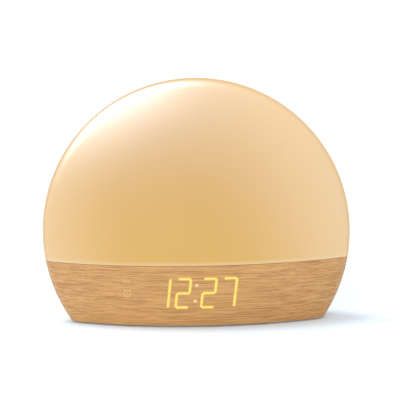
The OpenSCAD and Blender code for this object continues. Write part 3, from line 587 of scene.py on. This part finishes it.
@dataclass(frozen=True)
class Outline:
    """The outer form: two shallow faces and a round rim, turned about a front-to-back axis."""

    body_r: float
    half_depth: float
    centre_z: float
    rim_r: float = 16 * MM

    @classmethod
    def from_frame(cls) -> "Outline":
        """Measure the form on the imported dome."""
        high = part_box("dome_diffuser")[1]
        return cls(body_r=high.x, half_depth=high.y, centre_z=high.z - high.x)

    @property
    def rim_c(self) -> float:
        """Distance from the axis to the middle of the rim's arc."""
        return self.body_r - self.rim_r

    @property
    def face_r(self) -> float:
        """Radius of the front and rear faces."""
        depth = self.half_depth - self.rim_r
        return (self.rim_c**2 + self.half_depth**2 - self.rim_r**2) / (2 * depth)

    def face_y(self, x: float, z: float, proud: float = 0.0) -> float:
        """Return how far a face, or a form proud of it, stands from the middle plane."""
        face_c = self.face_r - self.half_depth
        return math.sqrt((self.face_r + proud) ** 2 - x * x - (z - self.centre_z) ** 2) - face_c


def add_piece(name: str, bm: BMesh, finish: Finish, body: str = HOUSING,
              stands_for: Sequence[str] = (), sharp: float = 35.0) -> None:
    """Turn a bmesh into a piece that rides on a body.

    Args:
        name: the piece's name.
        bm: its mesh, which is freed.
        finish: its finish.
        body: the body that carries it.
        stands_for: CAD nodes that it replaces.
        sharp: angle in degrees from which an edge is drawn sharp.
    """
    mesh = bpy.data.meshes.new(name)
    bm.to_mesh(mesh)
    bm.free()
    if "custom_normal" in mesh.attributes:
        mesh.attributes.remove(mesh.attributes["custom_normal"])
    mesh.shade_smooth()
    mesh.set_sharp_from_angle(angle=math.radians(sharp))
    mesh.materials.append(finish.material())
    piece = bpy.data.objects.new(name, mesh)
    bpy.context.scene.collection.objects.link(piece)
    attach(piece, body)
    if stands_for:
        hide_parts(*stands_for)
    log.info("%s on %s: %d faces", name, body, len(mesh.polygons))


def dress_nodes(finish: Finish, names: Iterable[str]) -> None:
    """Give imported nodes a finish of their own.

    Args:
        finish: the finish.
        names: the nodes' names.
    """
    for name in names:
        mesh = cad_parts[name].data
        mesh.materials.clear()
        mesh.materials.append(finish.material())
        log.info("%s dressed as %s", name, finish.name)


def welded(name: str) -> BMesh:
    """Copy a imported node's form with its corners joined and its normals worked out again.

    Args:
        name: the node's name.

    Returns:
        A new mesh; the node's own mesh stays as it is.
    """
    bm = bmesh.new()
    bm.from_mesh(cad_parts[name].data)
    bmesh.ops.remove_doubles(bm, verts=bm.verts[:], dist=0.001 * MM)
    bmesh.ops.recalc_face_normals(bm, faces=bm.faces[:])
    return bm


UPRIGHT = Matrix.Rotation(math.radians(90), 4, "X")


def bar(bm: BMesh, start: Vector, end: Vector, width: float, point: float = 0.0) -> list:
    """Lay a flat bar in the XZ plane.

    Args:
        bm: the mesh that the bar goes into.
        start: one end as (x, z).
        end: the other end as (x, z).
        width: the bar's width.
        point: how far its corners are cut back.

    Returns:
        The bar's vertices.
    """
    run = end - start
    made = bmesh.ops.create_grid(bm, x_segments=1, y_segments=1, size=0.5)["verts"]
    bmesh.ops.scale(bm, vec=(run.length, width, 1), verts=made)
    faces = list({face for vert in made for face in vert.link_faces})
    if point:
        cut = bmesh.ops.bevel(bm, geom=made, offset=point, affect="VERTICES", segments=1,
                              profile=0.5, material=-1)
        faces = list({face for vert in cut["verts"] for face in vert.link_faces})
    verts = list({vert for face in faces for vert in face.verts})
    turn = Matrix.Rotation(math.atan2(run.y, run.x), 4, "Z")
    middle = (start + end) / 2
    place = UPRIGHT @ Matrix.Translation((middle.x, middle.y, 0)) @ turn
    bmesh.ops.transform(bm, matrix=place, verts=verts)
    return verts


def disc(bm: BMesh, centre: Vector, radius: float, segments: int = 32) -> list:
    """Lay a flat disc in the XZ plane.

    Args:
        bm: the mesh that the disc goes into.
        centre: its middle as (x, z).
        radius: its radius.
        segments: how many sides it has.

    Returns:
        The disc's vertices.
    """
    place = Matrix.Translation((centre.x, 0, centre.y)) @ UPRIGHT
    made = bmesh.ops.create_circle(bm, cap_ends=True, segments=segments, radius=radius,
                                   matrix=place)
    return made["verts"]


def ring(bm: BMesh, centre: Vector, radius: float, width: float, segments: int = 40) -> None:
    """Lay a flat ring in the XZ plane.

    Args:
        bm: the mesh that the ring goes into.
        centre: its middle as (x, z).
        radius: its outer radius.
        width: its width.
        segments: how many sides it has.
    """
    face = disc(bm, centre, radius, segments)[0].link_faces[0]
    bmesh.ops.inset_region(bm, faces=[face], thickness=width, use_boundary=True,
                           use_even_offset=True)
    bmesh.ops.delete(bm, geom=[face], context="FACES_ONLY")


def thicken(bm: BMesh, depth: float) -> None:
    """Give a sheet a thickness along Y and turn its faces outwards.

    Args:
        bm: the sheet.
        depth: its thickness, negative towards the front.
    """
    bmesh.ops.recalc_face_normals(bm, faces=bm.faces[:])
    grown = bmesh.ops.extrude_face_region(bm, geom=bm.faces[:], use_keep_orig=True)["geom"]
    moved = [part for part in grown if isinstance(part, bmesh.types.BMVert)]
    bmesh.ops.translate(bm, vec=(0, depth, 0), verts=moved)
    bmesh.ops.recalc_face_normals(bm, faces=bm.faces[:])


@dataclass(frozen=True)
class Pen:
    """Draws flat forms in the XZ plane, in millimetres from a point."""

    bm: BMesh
    at: Vector

    def spot(self, place: Pair) -> Vector:
        """Return a place as (x, z) in metres."""
        return self.at + Vector(place) * MM

    def bar(self, start: Pair, end: Pair, width: float, point: float = 0.0) -> None:
        """Draw a bar from one place to another."""
        bar(self.bm, self.spot(start), self.spot(end), width * MM, point * MM)

    def disc(self, centre: Pair, radius: float, segments: int = 32) -> None:
        """Draw a disc."""
        disc(self.bm, self.spot(centre), radius * MM, segments)

    def ring(self, radius: float, width: float) -> None:
        """Draw a ring about the pen's own point."""
        ring(self.bm, self.at, radius * MM, width * MM)

    def bells(self, out: float, up: float, radius: float) -> None:
        """Draw an alarm clock's two bells."""
        for side in (-1, 1):
            self.disc((side * out, up), radius, segments=20)


# ---------------------------------------------------------------- sub-assemblies


@dataclass(frozen=True)
class Studio:
    """White table, white surroundings, a wide soft light at the upper left and the camera."""

    camera_at: Triple = (17.09 * MM, -1000 * MM, 169.29 * MM)
    pitch: float = 0.0911
    yaw: float = -0.0142
    roll: float = -0.0171
    focal: float = 138.98
    sensor: float = 36.0
    nearest: float = 10 * MM
    daylight: Triple = (0.82, 0.92, 1.0)
    room_strength: Pair = (0.72, 1.1)
    floor_reach: float = 6.0
    floor_colour: Colour = (0.75, 0.83, 0.91, 1)
    floor_glow: Colour = (0.78, 0.92, 1.0, 1)
    floor_strength: float = 0.13
    floor_roughness: float = 0.6
    floor_specular: float = 0.1

    def build(self) -> None:
        """Place the camera, the lights, the surroundings and the floor."""
        self.place_camera()
        self.place_lights()
        self.paint_surroundings()
        self.lay_floor()
        bpy.context.scene.view_settings.view_transform = "Standard"

    def place_camera(self) -> None:
        """Stand the camera a little above the clock's middle, looking slightly down."""
        cos_pitch, sin_pitch = math.cos(self.pitch), math.sin(self.pitch)
        cos_yaw, sin_yaw = math.cos(self.yaw), math.sin(self.yaw)
        cos_roll, sin_roll = math.cos(self.roll), math.sin(self.roll)
        ahead = Vector((sin_yaw * cos_pitch, cos_yaw * cos_pitch, -sin_pitch))
        right = Vector((cos_yaw, -sin_yaw, 0))
        up = right.cross(ahead)
        across, above = right * cos_roll + up * sin_roll, up * cos_roll - right * sin_roll
        data = bpy.data.cameras.new("camera")
        data.lens = self.focal
        data.sensor_width = self.sensor
        data.clip_start = self.nearest
        camera = bpy.data.objects.new("camera", data)
        turn = Matrix((across, above, -ahead)).transposed().to_4x4()
        camera.matrix_world = Matrix.Translation(self.camera_at) @ turn
        bpy.context.scene.collection.objects.link(camera)
        bpy.context.scene.camera = camera

    def mirrored_panel(self, name: str, at: Triple, aim: Triple, size: Pair, power: float) -> None:
        """Hang one bright panel that is seen only where the clock mirrors it.

        Args:
            name: the light's name.
            at: where it hangs.
            aim: the point that it faces.
            size: its width and height.
            power: its power in watts.
        """
        data = bpy.data.lights.new(name, "AREA")
        data.shape = "RECTANGLE"
        data.size, data.size_y = size
        data.energy = power
        data.color = self.daylight
        lamp = bpy.data.objects.new(name, data)
        turn = (Vector(aim) - Vector(at)).to_track_quat("-Z", "Y").to_matrix().to_4x4()
        lamp.matrix_world = Matrix.Translation(at) @ turn
        lamp.visible_diffuse = False
        bpy.context.scene.collection.objects.link(lamp)

    def sun(self, name: str, at: Triple, spread: float, strength: float,
            colour: Triple = (1, 1, 1)) -> None:
        """Let soft light fall from one direction onto the clock and evenly onto the whole table.

        Args:
            name: the light's name.
            at: the direction that it comes from.
            spread: how wide it looks, in radians.
            strength: its strength.
            colour: its colour.
        """
        data = bpy.data.lights.new(name, "SUN")
        data.energy = strength
        data.color = colour
        data.angle = spread
        lamp = bpy.data.objects.new(name, data)
        lamp.matrix_world = Vector(at).to_track_quat("Z", "Y").to_matrix().to_4x4()
        bpy.context.scene.collection.objects.link(lamp)

    def place_lights(self) -> None:
        """Hang two soft lights and a bright panel that the dome's shoulder mirrors."""
        self.sun("front", at=(-0.22, -1.0, 0.66), spread=0.6, strength=0.8)
        self.sun("top", at=(-0.24, 0.06, 1.0), spread=0.42, strength=1.45, colour=self.daylight)
        self.mirrored_panel("shine", at=(-0.5, 0.2, 0.85), aim=(0, 0, 0.1), size=(0.66, 0.7),
                            power=98.0)

    def paint_surroundings(self) -> None:
        """Surround the clock with white that is brighter to the camera than to the clock."""
        world = bpy.data.worlds.new("white_room")
        world.use_nodes = True
        g = Graph(world.node_tree)
        seen = g.node("LightPath").outputs["Is Camera Ray"]
        strength = g.spread(seen, low=0, high=1, to=self.room_strength)
        g.fill(world.node_tree.nodes["Background"], {"Color": (1, 1, 1, 1), "Strength": strength})
        bpy.context.scene.world = world

    def lay_floor(self) -> None:
        """Lay the pale table top."""
        bm = bmesh.new()
        bmesh.ops.create_grid(bm, x_segments=1, y_segments=1, size=self.floor_reach)
        mesh = bpy.data.meshes.new("floor")
        bm.to_mesh(mesh)
        bm.free()
        material = bpy.data.materials.new("floor_white")
        material.use_nodes = True
        Graph(material.node_tree).fill(material.node_tree.nodes["Principled BSDF"], {
            "Base Color": self.floor_colour,
            "Emission Color": self.floor_glow,
            "Emission Strength": self.floor_strength,
            "Roughness": self.floor_roughness,
            "Specular IOR Level": self.floor_specular,
        })
        mesh.materials.append(material)
        floor = bpy.data.objects.new("floor", mesh)
        bpy.context.scene.collection.objects.link(floor)


@dataclass(frozen=True)
class ClockFace:
    """The lights that shine through the wood: four digits, a colon and two indicators."""

    outline: Outline
    shown: str = "1227"
    digit_h: float = 20.7 * MM
    digit_w: float = 10.0 * MM
    segment_w: float = 2.1 * MM
    core_share: float = 0.72
    point_share: float = 0.3
    gap: float = 0.04 * MM
    slant: float = math.radians(6.8)
    digit_pitch: float = 12.8 * MM
    colon_pitch: float = 16.1 * MM
    colon_r: float = 1.0 * MM
    middle_z: float = 22.85 * MM
    icon_at: Pair = (-43.6 * MM, 22.2 * MM)
    lift: float = 0.04 * MM
    thickness: float = 0.12 * MM
    longest_edge: float = 3 * MM
    edge_cuts: int = 3

    # The segments that each figure lights: A, B and C are the bars from the top down, D and F
    # the left-hand strokes, E and G the right-hand ones.
    LIT: ClassVar[dict[str, str]] = {"1": "EG", "2": "AEBFC", "7": "AEG"}

    def ends(self) -> dict[str, tuple[Vector, Vector]]:
        """Place the segments of an upright digit.

        Returns:
            The two ends of each segment by its letter.
        """
        w, h = (self.digit_w - self.segment_w) / 2, (self.digit_h - self.segment_w) / 2
        lines = {"A": (-w, h, w, h), "B": (-w, 0, w, 0), "C": (-w, -h, w, -h), "D": (-w, 0, -w, h),
                 "E": (w, 0, w, h), "F": (-w, -h, -w, 0), "G": (w, -h, w, 0)}
        return {letter: (Vector(line[:2]), Vector(line[2:])) for letter, line in lines.items()}

    def lay_on_wood(self, bm: BMesh, lift: float) -> None:
        """Bend flat shapes onto the front face and give them a thickness into the wood.

        Args:
            bm: the flat shapes.
            lift: how far they stand out from the wood.
        """
        bmesh.ops.triangulate(bm, faces=bm.faces[:])
        long_edges = [edge for edge in bm.edges if edge.calc_length() > self.longest_edge]
        bmesh.ops.subdivide_edges(bm, edges=long_edges, cuts=self.edge_cuts)
        bmesh.ops.triangulate(bm, faces=bm.faces[:])
        for vert in bm.verts:
            vert.co.y = -self.outline.face_y(vert.co.x, vert.co.z) - lift
        thicken(bm, self.thickness)

    def segments(self, width: float) -> BMesh:
        """Draw all lit segments as flat pointed bars of one width.

        Args:
            width: the bars' width.

        Returns:
            A flat mesh with every bar.
        """
        bm = bmesh.new()
        half = self.colon_pitch / 2
        places = [-half - self.digit_pitch, -half, half, half + self.digit_pitch]
        for place, figure in zip(places, self.shown):
            for letter in self.LIT[figure]:
                start, end = self.ends()[letter]
                run = (end - start).normalized() * self.gap / 2
                for vert in bar(bm, start + run, end - run, width, width * self.point_share):
                    vert.co.x += vert.co.z * math.tan(self.slant) + place
                    vert.co.z += self.middle_z
        return bm

    def dots(self) -> BMesh:
        """Draw the colon's two dots.

        Returns:
            A flat mesh with both dots.
        """
        bm = bmesh.new()
        for height in (-self.digit_h / 4, self.digit_h / 4):
            disc(bm, Vector((height * math.tan(self.slant), self.middle_z + height)), self.colon_r)
        return bm

    def indicators(self) -> BMesh:
        """Draw the small alarm clock and the row of dots above it.

        Returns:
            A flat mesh with both.
        """
        hand_tips = ((0, 1.3), (0.9, -0.5))
        dot_places, dot_foot, dot_top = (-1.8, -0.2, 1.4), 7.3, 8.9
        bm = bmesh.new()
        pen = Pen(bm, Vector(self.icon_at))
        pen.ring(radius=2.3, width=0.5)
        for tip in hand_tips:
            pen.bar((0, 0), tip, width=0.35)
        pen.bells(out=1.6, up=2.2, radius=0.5)
        for place in dot_places:
            pen.bar((place, dot_foot), (place, dot_top), width=0.95, point=0.3)
        return bm

    def build(self) -> None:
        """Lay the lights on the wood, each bright core over a wider golden edge."""
        for name, flat, finish, lift in (
            ("digit_edges", self.segments(self.segment_w),
             Glow("digit_edge_light", "F2B74E"), self.lift),
            ("digit_segments", self.segments(self.segment_w * self.core_share),
             Glow("digit_light", "FFEC7C", strength=1.05), self.lift * 2),
            ("colon_dots", self.dots(), Glow("colon_light", "FFE0B0"), self.lift),
            ("indicator_lights", self.indicators(),
             Glow("indicator_light", "EBC195", strength=0.95), self.lift),
        ):
            self.lay_on_wood(flat, lift)
            add_piece(name, flat, finish, sharp=60)


@dataclass(frozen=True)
class Shells:
    """The dome, the wooden base and the parts that close the base."""

    outline: Outline

    def build(self) -> None:
        """Dress the dome, the wood, the rear panel and the bottom."""
        seam_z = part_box("wooden_base")[1].z
        dress_nodes(OakVeneer(), ["wooden_base"])
        frosted = LitDiffuser(self.outline.centre_z, self.outline.body_r, seam_z)
        dress_nodes(frosted, ["dome_diffuser"])
        add_piece("dome_shell", welded("dome_diffuser"), frosted,
                  stands_for=["dome_diffuser"])
        for finish, *names in (
            (Moulded("panel_plastic", "E9DCC6", roughness=0.55, relief=0.4), "rear_panel"),
            (Moulded("cover_plastic", "CDAE86", roughness=0.6, relief=0.4), "bottom_cover"),
            (Moulded("foot_rubber", "4A4744", roughness=0.8, grain=1400, relief=0.5), "feet"),
            (Moulded("white_plastic", "F4F2EC", roughness=0.45), "light_tray", "display_box"),
            (Moulded("diffusing_film", "F2EADB", roughness=0.35, grain=2400), "display_film"),
        ):
            dress_nodes(finish, names)


@dataclass(frozen=True)
class Keys:
    """The six keys in the rear panel, each with its own mark."""

    outline: Outline
    mark_proud: float = 0.32 * MM
    mark_depth: float = 0.1 * MM

    # Sizes of the marks in the pen's millimetres.
    SIGN_ARM: ClassVar[float] = 1.5
    SIGN_STROKE: ClassVar[float] = 0.38
    RING_R: ClassVar[float] = 1.6
    RING_STROKE: ClassVar[float] = 0.32

    def build(self) -> None:
        """Dress the keys and lay a mark on each."""
        plastic = Moulded("key_plastic", "EFE6D6", roughness=0.42, relief=0.2)
        dress_nodes(plastic, [f"{key.value}_button" for key in Key])
        ink = Moulded("key_ink", "8A7A66", roughness=0.6, relief=0.1)
        for key, draw in (
            (Key.LIGHT, self.light_mark),
            (Key.SOUND, self.sound_mark),
            (Key.PLUS, self.plus_mark),
            (Key.MINUS, self.minus_mark),
            (Key.ALARM, self.alarm_mark),
            (Key.SET, self.set_mark),
        ):
            low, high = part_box(f"{key.value}_button")
            bm = bmesh.new()
            draw(Pen(bm, Vector(((low.x + high.x) / 2, (low.z + high.z) / 2))))
            bmesh.ops.triangulate(bm, faces=bm.faces[:])
            for vert in bm.verts:
                vert.co.y = self.outline.face_y(vert.co.x, vert.co.z, self.mark_proud)
            thicken(bm, -self.mark_depth)
            add_piece(f"{key.value}_mark", bm, ink, f"{key.value}_key", sharp=60)

    def light_mark(self, pen: Pen) -> None:
        """Draw a sun: a disc and eight short rays.

        Args:
            pen: the pen at the key's middle.
        """
        rays, start, end = 8, 1.2, 1.9
        pen.disc((0, 0), radius=0.8)
        for step in range(rays):
            x, z = math.cos(step * math.tau / rays), math.sin(step * math.tau / rays)
            pen.bar((x * start, z * start), (x * end, z * end), width=0.3)

    def sound_mark(self, pen: Pen) -> None:
        """Draw a note: a head, a stem and a flag.

        Args:
            pen: the pen at the key's middle.
        """
        head, stem_foot, stem_top = (0.5, -1.1), (0.0, -1.1), (0.0, 1.6)
        flag_start, flag_tip = (0.1, 1.55), (-1.1, 0.8)
        pen.disc(head, radius=0.65)
        pen.bar(stem_foot, stem_top, width=0.32)
        pen.bar(flag_start, flag_tip, width=0.42)

    def plus_mark(self, pen: Pen) -> None:
        """Draw a plus sign, as a minus sign with a stroke above and below.

        Args:
            pen: the pen at the key's middle.
        """
        self.minus_mark(pen)
        for side in (-1, 1):
            start = (0, side * self.SIGN_STROKE / 2)
            pen.bar(start, (0, side * self.SIGN_ARM), width=self.SIGN_STROKE)

    def minus_mark(self, pen: Pen) -> None:
        """Draw a minus sign."""
        pen.bar((-self.SIGN_ARM, 0), (self.SIGN_ARM, 0), width=self.SIGN_STROKE)

    def alarm_mark(self, pen: Pen) -> None:
        """Draw an alarm clock: a ring with a hand and two bells.

        Args:
            pen: the pen at the key's middle.
        """
        hand_tip = (0, 0.95)
        pen.ring(self.RING_R, self.RING_STROKE)
        pen.bar((0, 0), hand_tip, width=0.28)
        pen.bells(out=1.45, up=1.6, radius=0.42)

    def set_mark(self, pen: Pen) -> None:
        """Draw a dial: a ring with a dot in it."""
        pen.ring(self.RING_R, self.RING_STROKE)
        pen.disc((0, 0), radius=0.5, segments=24)


@dataclass(frozen=True)
class Innards:
    """Speaker, boards, lamps, screws and leads inside the base."""

    def build(self) -> None:
        """Dress every inner node."""
        for finish, *names in (
            (Moulded("black_plastic", "1E1D1C", roughness=0.42, relief=0.3),
             "switch_housings", "jack_housing", "coin_cell_holder"),
            (CircuitLaminate("green_laminate", "1F6B45", "2E8257"),
             "main_board", "display_board", "right_button_board", "left_button_board"),
            (CircuitLaminate("white_laminate", "E9E9E4", "D9DAD4"), "led_board"),
            (Moulded("chip_resin", "24252A", roughness=0.62, grain=2200), "board_chips"),
            (Moulded("lamp_phosphor", "F3DE8A", roughness=0.35, grain=2600),
             "led_chips", "display_leds"),
            (Moulded("connector_nylon", "EDE6D3", roughness=0.5), "connectors"),
            (Moulded("plunger_plastic", "3A3A3D", roughness=0.4),
             *[f"{key.value}_plunger" for key in Key]),
            (Brushed("screw_steel", "C9C7C2"), "led_screws", "dome_screws", "display_screws",
             "panel_screws", "speaker_screws", "button_board_screws", "main_board_screws",
             "cover_screws"),
            (Brushed("contact_metal", "D8D2C4", roughness=0.22), "jack_pin", "coin_cell"),
            (Brushed("magnet_plating", "AEB0B3", roughness=0.38), "speaker_magnet"),
            (Moulded("grille_paint", "BFB7A8", roughness=0.5, metal=0.3, relief=0.3),
             "speaker_grille"),
            (Moulded("speaker_paper", "26221F", roughness=0.85, grain=700, relief=0.7),
             "speaker_cone"),
            (Moulded("dust_cap_cloth", "34302C", roughness=0.8, grain=1800, relief=0.6),
             "speaker_dust_cap"),
            (Moulded("basket_steel", "3C3B3A", roughness=0.45, metal=0.6), "speaker_frame"),
            (Moulded("soft_rubber", "1A1918", roughness=0.7, grain=1600),
             "speaker_surround", "speaker_gasket"),
            (Moulded("can_sleeve", "2C4A74", roughness=0.4), "capacitors"),
            (Moulded("red_jacket", "B4332A", roughness=0.45, grain=1300),
             "light_leads", "button_leads"),
            (Moulded("black_jacket", "1C1B1A", roughness=0.45, grain=1300), "speaker_leads"),
            (Brushed("ribbon_foil", "B9BCC0", roughness=0.4, lines=(2600, 60, 60)),
             "display_ribbon"),
        ):
            dress_nodes(finish, names)


def main() -> None:
    """Build the studio, then dress the clock from the outside in."""
    logging.basicConfig(level=logging.INFO, format="%(name)s %(message)s")
    outline = Outline.from_frame()
    Studio().build()
    Shells(outline).build()
    ClockFace(outline).build()
    Keys(outline).build()
    Innards().build()


if __name__ == "__main__":
    main()
